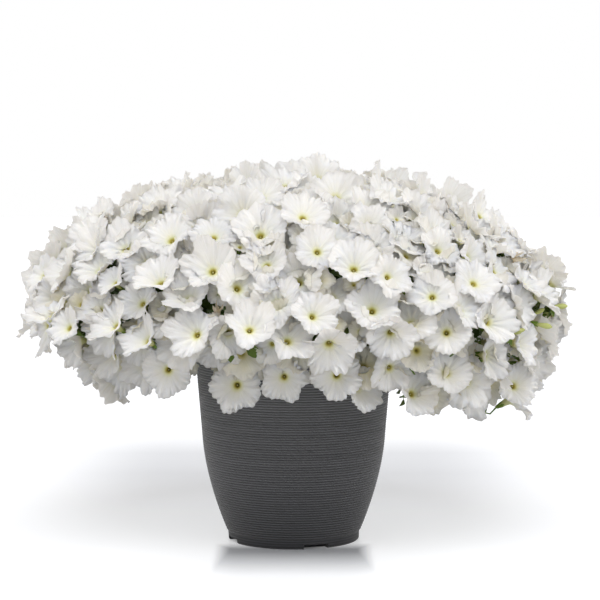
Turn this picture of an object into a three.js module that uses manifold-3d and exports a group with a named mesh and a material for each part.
// Potted spreading petunia: a charcoal planter with fine rings round its wall, filled with potting
// mix, and a mounding petunia whose leafy stems arch out over the rim under bunches of white
// funnel flowers.
// Millimetres, +Z up. The origin is the middle of the pot's foot, on the surface it stands on,
// and the front of the plant faces -Y.

import * as THREE from "three";
import { mergeVertices } from "three/addons/utils/BufferGeometryUtils.js";
import Module from "manifold-3d";

const wasm = await Module();
wasm.setup();

// Pot
const POT_HEIGHT = 245;
const POT_RIM_RADIUS = 129; // outside, at the top
const POT_TAPER = 0.085; // how much the upper wall leans in, per millimetre down
const POT_TUCK = 26; // how far the lower wall curves in under that lean
const POT_TUCK_START = 130; // height where the tuck begins
const POT_TUCK_POWER = 1.8;
const POT_WALL = 6;
const POT_SIDES = 24;
const FOOT_HEIGHT = 12;
const FOOT_RADIUS = 86;
const FOOT_RING = 13; // width of the ring that meets the ground
const FLOOR_UNDERSIDE = 6;
const FLOOR_TOP = 12;
const LIP_HEIGHT = 9; // plain band above the wall's fine rings
const RING_COUNT = 16; // fewer and coarser than the real rings, which are 3.1 mm apart
const RING_DEPTH = 1.3;
const EDGE_ROUND = 2;
const NOTCH_COUNT = 4;
const NOTCH_WIDTH = 33;
const NOTCH_HEIGHT = 5.5;
const FIRST_NOTCH_AZIMUTH = THREE.MathUtils.degToRad(-70);
const DRAIN_RADIUS = 6;
const DRAIN_CIRCLE = 48;
const DRAIN_SIDES = 8;

// Potting mix
const FIT_GAP = 0.3; // between pieces that rest on each other
const SOIL_TOP = 224;
const SOIL_CROWN = 6; // how much higher its middle is
const STEM_HOLE_RADIUS = 4.4;
const STEM_HOLE_DEPTH = 24;
const STEM_CIRCLE = 84; // radius of the planted area

// Mound of flowers, measured to the middles of the flowers' faces. The lists go round the plant
// in steps of 45 degrees from +X, through the back, the left and the front.
const WAIST_RADII = [346, 342, 340, 342, 342, 338, 338, 345];
const WAIST_HEIGHT = 288;
const RISE = 198; // from the waist up to the crown
const SQUARENESS = 2.25; // 2 is an ellipse, more is boxier
const SKIRT_DROPS = [93, 90, 82, 86, 92, 80, 68, 106]; // from the waist down to the lowest flowers
const SKIRT_TUCKS = [0.13, 0.16, 0.2, 0.25, 0.28, 0.26, 0.18, 0.12]; // share of the radius lost there
const SKIRT_ROUNDNESS = 1.25; // 1 runs straight in from the waist, more bulges
const SKIRT_END = 2.2; // angle from the crown where the flowers stop
const LOBES = 7; // shallow swellings round the waist
const LOBE_SHARE = 0.012;

// Flowers
const BUNCH_COUNT = 24;
const BUNCH_TURN = 0.5; // of the bunches' spiral against the flowers'
const FLOWER_PLACES = 372;
const GAP_EVERY = 13; // one place in this many holds a leaf and no flower
const FLOWER_RADIUS = 29;
const FLOWER_LEAN = 0.25; // how far flowers turn from the mound's own direction, mostly upward
const PETALS = 5;
const PETAL_SPREAD = 0.07; // how unequal a flower's petals are
const RIM_WAVE = 2;
const THROAT_DEPTH = 13;
const NECK_DEPTH = 21;
const NECK_RADIUS = 3.4;
const STALK_SIDES = 3;
const BUMP = 5; // how far a flower stands out of the mound or back into it
const OTHER_BUMPS = [-7, 7, -12, 11]; // tried where the first one touches a neighbour
const SMALLER_SHARES = [1, 0.93, 0.86, 0.79, 0.72, 0.65];
const HUB_DEPTH = 62; // below the flowers, where a bunch's stalks meet
const HUB_RADIUS = 9;
const HUB_HEIGHT = 13;
const HUB_SIDES = 6;
const STALK_JOIN = 26; // how far from the hub two stalks may still run into each other

// Leafy stems
const STEM_RADIUS = 3.6;
const STEM_TIP_RADIUS = 2.8;
const STEM_SIDES = 4;
const STEM_STEPS = 3;
const STEM_STRAIGHT = 14; // length above the mix before the stem starts to arch
const ARCH_HEIGHT = 70; // lowest top of an arch above the mix, to clear the rim
const ARCH_REACH = 0.42; // where the arch turns down, as a share of the way out
const CORE_TOP = 12; // below the hub's middle, the core that the leaves stand out of
const CORE_THICKNESS = 24;
const CORE_RADIUS = 44;
const CORE_SIDES = 5;
const LEAF_OUTLINE = [
  // across as a share of the length, along as a share of it, and up in millimetres
  [0, 0, 0],
  [0.2, 0.36, -1],
  [0.24, 0.64, -1],
  [0, 1, -4],
  [-0.24, 0.64, -1],
  [-0.2, 0.36, -1],
];
const LEAF_THICKNESS = 1.8;
const SIDE_LEAVES = 6; // round each bunch
const SIDE_LEAF_LENGTH = 58;
const SIDE_LEAF_RAISES = [0.6, 0.45, 0.75, 0.3, 0.9, 0.1, -0.2, -0.5]; // tried in turn
const GAP_LEAF_LENGTHS = [46, 40, 34];
const GAP_LEAF_DEPTHS = [9, 14, 20, 27]; // below the mound
const GAP_LEAF_TURNS = 8;
const LEAF_STALK_RADIUS = 2;

const GOLDEN_ANGLE = Math.PI * (3 - Math.sqrt(5));
const UP = new THREE.Vector3(0, 0, 1);
const LATHE_AXIS = new THREE.Vector3(0, 1, 0);

const charcoalPlastic = new THREE.MeshStandardMaterial({ color: "#4a4b4d", roughness: 0.62, metalness: 0 });
const pottingMix = new THREE.MeshStandardMaterial({ color: "#3a2a1e", roughness: 0.95, metalness: 0 });
const whitePetal = new THREE.MeshStandardMaterial({ color: "#f3f2ee", roughness: 0.55, metalness: 0 });
const greenLeaf = new THREE.MeshStandardMaterial({ color: "#4f6f26", roughness: 0.6, metalness: 0 });

// A repeatable draw from -1 to 1 for piece number index. The salt tells its uses apart.
function draw(index, salt) {
  const s = Math.sin(index * 12.9898 + salt * 78.233) * 43758.5453;
  return 2 * (s - Math.floor(s)) - 1;
}

// Solids

function solidOf(geometry) {
  const bare = geometry.index ? geometry.toNonIndexed() : geometry.clone();
  bare.deleteAttribute("normal");
  bare.deleteAttribute("uv");
  const merged = mergeVertices(bare, 1e-3);
  return new wasm.Manifold(
    new wasm.Mesh({
      numProp: 3,
      vertProperties: merged.attributes.position.array,
      triVerts: new Uint32Array(merged.index.array),
    }),
  );
}

// A closed surface from its corners and its triangles, as a solid.
function solidFrom(points, triangles) {
  const geometry = new THREE.BufferGeometry().setFromPoints(points);
  geometry.setIndex(triangles.flat());
  return solidOf(geometry);
}

function meshOf(name, solid, material) {
  const { vertProperties, triVerts } = solid.getMesh();
  const geometry = new THREE.BufferGeometry();
  geometry.setAttribute("position", new THREE.BufferAttribute(vertProperties, 3));
  geometry.setIndex(new THREE.BufferAttribute(triVerts, 1));
  geometry.computeVertexNormals();
  const mesh = new THREE.Mesh(geometry, material);
  mesh.name = name;
  return mesh;
}

function union(solids) {
  return solids.reduce((whole, next) => whole.add(next));
}

// A profile of (radius, height) points turned about Z, starting and ending on the axis.
function turned(outline) {
  return solidOf(new THREE.LatheGeometry(outline, POT_SIDES).rotateX(Math.PI / 2));
}

// Three directions at right angles, the last along axis.
function frameAlong(axis) {
  const reference = Math.abs(axis.z) > 0.95 ? LATHE_AXIS : UP;
  const side = new THREE.Vector3().crossVectors(reference, axis).normalize();
  return { side, across: new THREE.Vector3().crossVectors(axis, side), axis };
}

// The point at (x, y, z) in a frame that stands at origin.
function pointIn(frame, origin, x, y, z) {
  const point = origin.clone();
  point.addScaledVector(frame.side, x);
  point.addScaledVector(frame.across, y);
  return point.addScaledVector(frame.axis, z);
}

// The corners of an even ring round centre, square to the frame's axis.
function ring(frame, centre, radius, count, turn = 0) {
  return Array.from({ length: count }, (_, i) => {
    const angle = turn + (i * 2 * Math.PI) / count;
    return pointIn(frame, centre, radius * Math.cos(angle), radius * Math.sin(angle), 0);
  });
}

// A rod through a list of points, with a ring of corners square to the path at each.
function rod(centres, sides, startRadius, endRadius) {
  const last = centres.length - 1;
  const points = [];
  let side = new THREE.Vector3(1, 0, 0);
  centres.forEach((centre, i) => {
    const axis = centres[Math.min(last, i + 1)].clone().sub(centres[Math.max(0, i - 1)]).normalize();
    side = side.clone().addScaledVector(axis, -side.dot(axis)).normalize();
    const frame = { side, across: new THREE.Vector3().crossVectors(axis, side), axis };
    points.push(...ring(frame, centre, THREE.MathUtils.lerp(startRadius, endRadius, i / last), sides));
  });
  const at = (i, j) => i * sides + (j % sides);
  const triangles = [];
  for (let i = 0; i < last; i++) {
    for (let j = 0; j < sides; j++) {
      triangles.push([at(i, j), at(i, j + 1), at(i + 1, j + 1)]);
      triangles.push([at(i, j), at(i + 1, j + 1), at(i + 1, j)]);
    }
  }
  for (let j = 1; j < sides - 1; j++) {
    triangles.push([at(0, 0), at(0, j + 1), at(0, j)]);
    triangles.push([at(last, 0), at(last, j), at(last, j + 1)]);
  }
  return solidFrom(points, triangles);
}

// A shape drawn about its own Y axis, moved to the bunch's hub with that axis along the bunch's.
function stoodOnHub(geometry, bunch) {
  geometry.applyQuaternion(new THREE.Quaternion().setFromUnitVectors(LATHE_AXIS, bunch.normal));
  return solidOf(geometry.translate(bunch.hub.x, bunch.hub.y, bunch.hub.z));
}

function boxesMeet(a, b) {
  return [0, 1, 2].every((i) => a.min[i] <= b.max[i] && b.min[i] <= a.max[i]);
}

function clashes(solid, others) {
  const box = solid.boundingBox();
  return others.some((other) => boxesMeet(box, other.boundingBox()) && !solid.intersect(other).isEmpty());
}

// Whether two solids of a bunch meet anywhere but close round its hub, where all stalks join.
function meetBeyondHub(solid, other, hub) {
  if (!boxesMeet(solid.boundingBox(), other.boundingBox())) return false;
  const common = solid.intersect(other);
  if (common.isEmpty()) return false;
  const { min, max } = common.boundingBox();
  const far = (i, middle) => Math.max(Math.abs(min[i] - middle), Math.abs(max[i] - middle));
  return Math.max(far(0, hub.x), far(1, hub.y), far(2, hub.z)) > STALK_JOIN;
}

// Pot

function potRadius(z) {
  const under = Math.max(0, (POT_TUCK_START - z) / POT_TUCK_START);
  return POT_RIM_RADIUS - POT_TAPER * (POT_HEIGHT - z) - POT_TUCK * under ** POT_TUCK_POWER;
}

// The inside of the wall from the floor up to the mix's edge, drawn in by gap.
function innerWall(gap) {
  const heights = [FLOOR_TOP, 0.25 * SOIL_TOP, 0.55 * SOIL_TOP, SOIL_TOP];
  return heights.map((z) => new THREE.Vector2(potRadius(z) - POT_WALL - gap, z));
}

function makePot() {
  const outline = [
    new THREE.Vector2(0, FLOOR_UNDERSIDE),
    new THREE.Vector2(FOOT_RADIUS - FOOT_RING - 1, FLOOR_UNDERSIDE),
    new THREE.Vector2(FOOT_RADIUS - FOOT_RING, 0),
    new THREE.Vector2(FOOT_RADIUS - 1, 0),
    new THREE.Vector2(FOOT_RADIUS, FOOT_HEIGHT),
  ];
  const ringed = POT_HEIGHT - LIP_HEIGHT - FOOT_HEIGHT;
  for (let i = 0; i < RING_COUNT; i++) {
    const crest = FOOT_HEIGHT + (ringed * (i + 0.5)) / RING_COUNT;
    const groove = FOOT_HEIGHT + (ringed * (i + 1)) / RING_COUNT;
    outline.push(new THREE.Vector2(potRadius(crest), crest));
    outline.push(new THREE.Vector2(potRadius(groove) - RING_DEPTH, groove));
  }
  outline.push(new THREE.Vector2(POT_RIM_RADIUS, POT_HEIGHT - LIP_HEIGHT + RING_DEPTH));
  outline.push(new THREE.Vector2(POT_RIM_RADIUS, POT_HEIGHT - EDGE_ROUND));
  outline.push(new THREE.Vector2(POT_RIM_RADIUS - EDGE_ROUND, POT_HEIGHT));
  outline.push(new THREE.Vector2(POT_RIM_RADIUS - POT_WALL, POT_HEIGHT));
  outline.push(...innerWall(0).reverse());
  outline.push(new THREE.Vector2(0, FLOOR_TOP));
  let pot = turned(outline);
  for (let i = 0; i < NOTCH_COUNT; i++) {
    const azimuth = FIRST_NOTCH_AZIMUTH + (i * 2 * Math.PI) / NOTCH_COUNT;
    const notch = new THREE.BoxGeometry(3 * FOOT_RING, NOTCH_WIDTH, 2 * NOTCH_HEIGHT);
    const drain = new THREE.CylinderGeometry(DRAIN_RADIUS, DRAIN_RADIUS, 4 * FLOOR_TOP, DRAIN_SIDES);
    notch.translate(FOOT_RADIUS - FOOT_RING / 2, 0, 0).rotateZ(azimuth);
    drain.rotateX(Math.PI / 2).translate(DRAIN_CIRCLE, 0, 0).rotateZ(azimuth);
    pot = pot.subtract(solidOf(notch)).subtract(solidOf(drain));
  }
  return pot;
}

// Potting mix

function soilHeight(radius) {
  const inner = potRadius(SOIL_TOP) - POT_WALL;
  return SOIL_TOP + SOIL_CROWN * (1 - (radius / inner) ** 2);
}

// The bottom of the hole that stem number k stands in.
function holeBottom(k) {
  const radius = STEM_CIRCLE * Math.sqrt((k + 0.5) / BUNCH_COUNT);
  const azimuth = k * GOLDEN_ANGLE;
  const height = soilHeight(radius) - STEM_HOLE_DEPTH;
  return new THREE.Vector3(radius * Math.cos(azimuth), radius * Math.sin(azimuth), height);
}

function makeSoil() {
  const [corner, ...wall] = innerWall(FIT_GAP);
  const outline = [
    new THREE.Vector2(0, FLOOR_TOP + FIT_GAP),
    new THREE.Vector2(corner.x, FLOOR_TOP + FIT_GAP),
    ...wall,
    new THREE.Vector2(STEM_CIRCLE, soilHeight(STEM_CIRCLE)),
    new THREE.Vector2(0, soilHeight(0)),
  ];
  let soil = turned(outline);
  for (let k = 0; k < BUNCH_COUNT; k++) {
    const bottom = holeBottom(k);
    const depth = 2 * STEM_HOLE_DEPTH;
    const hole = new THREE.CylinderGeometry(STEM_HOLE_RADIUS, STEM_HOLE_RADIUS, depth, STEM_SIDES);
    hole.rotateX(Math.PI / 2).translate(bottom.x, bottom.y, bottom.z + STEM_HOLE_DEPTH);
    soil = soil.subtract(solidOf(hole));
  }
  return soil;
}

// Mound: where the flowers, the bunches and the leaves go

// The value at an azimuth of a list that goes round the plant in even steps.
function around(values, azimuth) {
  const turn = (azimuth / (2 * Math.PI)) * values.length;
  const whole = Math.floor(turn);
  const at = (i) => values[((i % values.length) + values.length) % values.length];
  const share = 0.5 - 0.5 * Math.cos((turn - whole) * Math.PI);
  return THREE.MathUtils.lerp(at(whole), at(whole + 1), share);
}

// The point of the mound's surface at an angle from the crown and an azimuth: a squared-off dome
// above the waist, and a skirt below it that tucks in.
function moundPoint(fromCrown, azimuth) {
  const power = 2 / SQUARENESS;
  const down = (fromCrown - Math.PI / 2) / (SKIRT_END - Math.PI / 2);
  const inSkirt = down > 0;
  const tuck = inSkirt ? around(SKIRT_TUCKS, azimuth) * down ** SKIRT_ROUNDNESS : 0;
  const across = inSkirt ? 1 - tuck : Math.sin(fromCrown) ** power;
  const lift = inSkirt ? -around(SKIRT_DROPS, azimuth) * down : RISE * Math.cos(fromCrown) ** power;
  const swelling = 1 + LOBE_SHARE * across * Math.cos(LOBES * azimuth);
  const radius = around(WAIST_RADII, azimuth) * across * swelling;
  return new THREE.Vector3(radius * Math.cos(azimuth), radius * Math.sin(azimuth), WAIST_HEIGHT + lift);
}

// The mound's outward direction there.
function moundNormal(fromCrown, azimuth) {
  const step = 0.03;
  const here = Math.max(fromCrown, 2 * step);
  const down = moundPoint(here + step, azimuth).sub(moundPoint(here - step, azimuth));
  const round = moundPoint(here, azimuth + step).sub(moundPoint(here, azimuth - step));
  return down.cross(round).normalize();
}

// Angles from the crown that share the mound's area out evenly among count places.
function evenAngles(count) {
  const steps = 400;
  const at = (i) => moundPoint((SKIRT_END * i) / steps, 0);
  const area = [0];
  for (let i = 1; i <= steps; i++) {
    area.push(area[i - 1] + at(i).distanceTo(at(i - 1)) * (at(i).x + at(i - 1).x));
  }
  return Array.from({ length: count }, (_, k) => {
    const wanted = (area[steps] * (k + 0.5)) / count;
    const i = area.findIndex((sum) => sum > wanted);
    return (SKIRT_END * (i - 1 + (wanted - area[i - 1]) / (area[i] - area[i - 1]))) / steps;
  });
}

// Places on the mound in a golden-angle spiral, like the florets of a daisy.
function spiral(count, turn) {
  return evenAngles(count).map((fromCrown, index) => {
    const azimuth = index * GOLDEN_ANGLE + turn;
    return { index, point: moundPoint(fromCrown, azimuth), normal: moundNormal(fromCrown, azimuth) };
  });
}

function nearest(places, point) {
  return places.reduce((best, next) => {
    return next.point.distanceTo(point) < best.point.distanceTo(point) ? next : best;
  });
}

function placeBunches() {
  return spiral(BUNCH_COUNT, BUNCH_TURN).map((bunch) => ({
    ...bunch,
    hub: bunch.point.clone().addScaledVector(bunch.normal, -HUB_DEPTH),
    frame: frameAlong(bunch.normal),
  }));
}

// Every place in the spiral belongs to the bunch whose middle is nearest.
function placeFlowers(bunches) {
  return spiral(FLOWER_PLACES, 0).map((place) => {
    const upward = 1.1 + 0.5 * draw(place.index, 3);
    const lean = new THREE.Vector3(draw(place.index, 1), draw(place.index, 2), upward);
    return {
      ...place,
      axis: place.normal.clone().addScaledVector(lean, FLOWER_LEAN).normalize(),
      isGap: place.index % GAP_EVERY === GAP_EVERY - 1,
      bunch: nearest(bunches, place.point),
    };
  });
}

// Leafy stems

// The main stem: straight up out of its hole, over the rim, and in under the bunch's hub.
function makeStem(bunch) {
  const foot = holeBottom(bunch.index);
  foot.z += FIT_GAP;
  const top = bunch.hub.clone().addScaledVector(bunch.normal, -HUB_HEIGHT / 2 - FIT_GAP);
  const under = top.clone().addScaledVector(bunch.normal, -CORE_TOP - CORE_THICKNESS / 2);
  const aboveSoil = foot.clone().setZ(SOIL_TOP + STEM_STRAIGHT);
  const archTop = Math.max(SOIL_TOP + ARCH_HEIGHT, top.z - STEM_STRAIGHT);
  const reach = Math.max(ARCH_REACH, Math.hypot(foot.x, foot.y) / Math.hypot(top.x, top.y));
  const bend = top.clone().multiplyScalar(reach).setZ(archTop);
  const lead = foot.clone().setZ(archTop - STEM_STRAIGHT);
  const arch = new THREE.CubicBezierCurve3(aboveSoil, lead, bend, under);
  return rod([foot, ...arch.getPoints(STEM_STEPS), top], STEM_SIDES, STEM_RADIUS, STEM_TIP_RADIUS);
}

// The core under the hub, a low clump that the leaves stand out of.
function makeCore(bunch) {
  const outline = [
    new THREE.Vector2(0, -CORE_TOP - CORE_THICKNESS),
    new THREE.Vector2(CORE_RADIUS, -CORE_TOP - 0.6 * CORE_THICKNESS),
    new THREE.Vector2(0.5 * CORE_RADIUS, -CORE_TOP - 0.1 * CORE_THICKNESS),
    new THREE.Vector2(0, -CORE_TOP),
  ];
  return stoodOnHub(new THREE.LatheGeometry(outline, CORE_SIDES), bunch);
}

// The middle of that core.
function coreMiddle(bunch) {
  return bunch.hub.clone().addScaledVector(bunch.normal, -CORE_TOP - 0.5 * CORE_THICKNESS);
}

// A leaf from its foot to its tip with its upper face outward: an oval blade that arches a little.
function makeLeaf(foot, tip, outward) {
  const across = tip.clone().sub(foot);
  const length = across.length();
  across.normalize();
  const side = new THREE.Vector3().crossVectors(across, outward).normalize();
  const frame = { side, across, axis: new THREE.Vector3().crossVectors(side, across) };
  const points = LEAF_OUTLINE.map(([x, y, z]) => pointIn(frame, foot, x * length, y * length, z));
  points.push(pointIn(frame, foot, 0, 0.52 * length, LEAF_THICKNESS));
  const over = LEAF_OUTLINE.map((_, i) => [LEAF_OUTLINE.length, i, (i + 1) % LEAF_OUTLINE.length]);
  const under = [
    [0, 5, 1],
    [1, 5, 4],
    [1, 4, 2],
    [2, 4, 3],
  ];
  return solidFrom(points, [...over, ...under]);
}

// Leaf number i of those round a bunch, raised by an angle from the core's own plane.
function sideLeaf(bunch, i, raise) {
  const turn = ((i + 0.3 * draw(i, bunch.index)) * 2 * Math.PI) / SIDE_LEAVES;
  const outward = pointIn(bunch.frame, new THREE.Vector3(), Math.cos(turn), Math.sin(turn), 0);
  const foot = coreMiddle(bunch).addScaledVector(outward, 0.7 * CORE_RADIUS);
  const tip = foot.clone().addScaledVector(outward, SIDE_LEAF_LENGTH * Math.cos(raise));
  tip.addScaledVector(bunch.normal, SIDE_LEAF_LENGTH * Math.sin(raise));
  return makeLeaf(foot, tip, bunch.normal);
}

// A leaf that lies across a place without a flower, on a leaf stalk from the core.
function gapLeaf(place, length, depth, turn) {
  const frame = frameAlong(place.normal);
  const halfway = [0.5 * length * Math.cos(turn), 0.5 * length * Math.sin(turn)];
  const foot = pointIn(frame, place.point, -halfway[0], -halfway[1], -depth - 4);
  const tip = pointIn(frame, place.point, halfway[0], halfway[1], -depth);
  const stalk = [coreMiddle(place.bunch), foot.clone().lerp(tip, 0.25)];
  return rod(stalk, STALK_SIDES, LEAF_STALK_RADIUS, LEAF_STALK_RADIUS).add(makeLeaf(foot, tip, place.normal));
}

// Flowers

// One funnel flower: a rim with a corner for each petal, a sunken throat, and a flare behind it
// that narrows to the neck and runs on into the hub as a thin stalk.
function makeFlower(flower, radius, lift) {
  const { index, axis } = flower;
  const hub = flower.bunch.hub;
  const frame = frameAlong(axis);
  const face = flower.point.clone().addScaledVector(flower.normal, lift);
  const spin = draw(index, 5) * Math.PI;
  const points = [pointIn(frame, face, 0, 0, -THROAT_DEPTH)];
  for (let i = 0; i < PETALS; i++) {
    const angle = spin + (i * 2 * Math.PI) / PETALS;
    const reach = radius * (1 + PETAL_SPREAD * draw(index, 10 + i));
    const wave = RIM_WAVE * draw(index, 20 + i);
    points.push(pointIn(frame, face, reach * Math.cos(angle), reach * Math.sin(angle), wave));
  }
  const neck = pointIn(frame, face, 0, 0, -NECK_DEPTH);
  const outward = neck.clone().sub(hub).normalize();
  const neckFrame = frameAlong(outward.clone().add(axis).normalize());
  const neckTurn = spin + Math.atan2(frame.side.dot(neckFrame.across), frame.side.dot(neckFrame.side));
  points.push(...ring(neckFrame, neck, NECK_RADIUS, STALK_SIDES, neckTurn));
  points.push(hub.clone().addScaledVector(outward, -0.4 * HUB_HEIGHT));
  const rim = (i) => 1 + (i % PETALS);
  const neckCorner = (j) => 1 + PETALS + (j % STALK_SIDES);
  const under = (i) => Math.round((i * STALK_SIDES) / PETALS);
  const triangles = [];
  for (let i = 0; i < PETALS; i++) {
    triangles.push([0, rim(i), rim(i + 1)]);
    triangles.push([rim(i + 1), rim(i), neckCorner(under(i))]);
    if (under(i + 1) > under(i)) {
      triangles.push([rim(i + 1), neckCorner(under(i)), neckCorner(under(i + 1))]);
    }
  }
  for (let j = 0; j < STALK_SIDES; j++) {
    triangles.push([neckCorner(j), points.length - 1, neckCorner(j + 1)]);
  }
  return solidFrom(points, triangles);
}

function makeHub(bunch) {
  const hub = new THREE.CylinderGeometry(0.75 * HUB_RADIUS, HUB_RADIUS, HUB_HEIGHT, HUB_SIDES);
  return stoodOnHub(hub, bunch);
}

// Flowers are set one by one from the crown down. One that would touch a neighbour is moved in or
// out, and then made smaller, until it is clear.
function setFlowers(places, stems) {
  const set = [];
  for (const flower of places.filter((place) => !place.isGap)) {
    const others = set.filter((other) => other.bunch !== flower.bunch).map((other) => other.solid);
    const own = set.filter((other) => other.bunch === flower.bunch);
    const lifts = [BUMP * draw(flower.index, 4), ...OTHER_BUMPS];
    const tries = SMALLER_SHARES.flatMap((share) => lifts.map((lift) => [share * FLOWER_RADIUS, lift]));
    for (const [radius, lift] of tries) {
      const solid = makeFlower(flower, radius, lift);
      if (clashes(solid, others) || clashes(solid, stems)) continue;
      if (own.some((other) => meetBeyondHub(solid, other.solid, flower.bunch.hub))) continue;
      set.push({ bunch: flower.bunch, solid });
      break;
    }
  }
  return set;
}

// Leaves join their stem where they stay clear of the flowers, the other stems and each other.
function setLeaves(places, bunches, stems, flowerBunches) {
  const leaves = bunches.map(() => []);
  const setFirst = (k, tries) => {
    const others = [...flowerBunches, ...stems.filter((_, i) => i !== k), ...leaves[k]];
    const leaf = tries.find((one) => !clashes(one, others));
    if (leaf) {
      stems[k] = stems[k].add(leaf);
      leaves[k].push(leaf);
    }
  };
  for (const place of places.filter((one) => one.isGap)) {
    const step = (2 * Math.PI) / GAP_LEAF_TURNS;
    const turns = Array.from({ length: GAP_LEAF_TURNS }, (_, i) => draw(place.index, 6) + i * step);
    const tries = GAP_LEAF_LENGTHS.flatMap((length) =>
      GAP_LEAF_DEPTHS.flatMap((depth) => turns.map((turn) => gapLeaf(place, length, depth, turn))),
    );
    setFirst(place.bunch.index, tries);
  }
  for (const bunch of bunches) {
    for (let i = 0; i < SIDE_LEAVES; i++) {
      setFirst(bunch.index, SIDE_LEAF_RAISES.map((raise) => sideLeaf(bunch, i, raise)));
    }
  }
}

const bunches = placeBunches();
const places = placeFlowers(bunches);
const stems = bunches.map((bunch) => makeStem(bunch).add(makeCore(bunch)));
const flowers = setFlowers(places, stems);
const flowerBunches = bunches.map((bunch) => {
  const own = flowers.filter((flower) => flower.bunch === bunch).map((flower) => flower.solid);
  return union([makeHub(bunch), ...own]);
});
setLeaves(places, bunches, stems, flowerBunches);

const plant = new THREE.Group();
const numbered = (name, k) => `${name}_${String(k + 1).padStart(2, "0")}`;
plant.add(meshOf("pot", makePot(), charcoalPlastic));
plant.add(meshOf("potting_mix", makeSoil(), pottingMix));
stems.forEach((solid, k) => plant.add(meshOf(numbered("leafy_stem", k), solid, greenLeaf)));
flowerBunches.forEach((solid, k) => plant.add(meshOf(numbered("flowers", k), solid, whitePetal)));

export default plant;
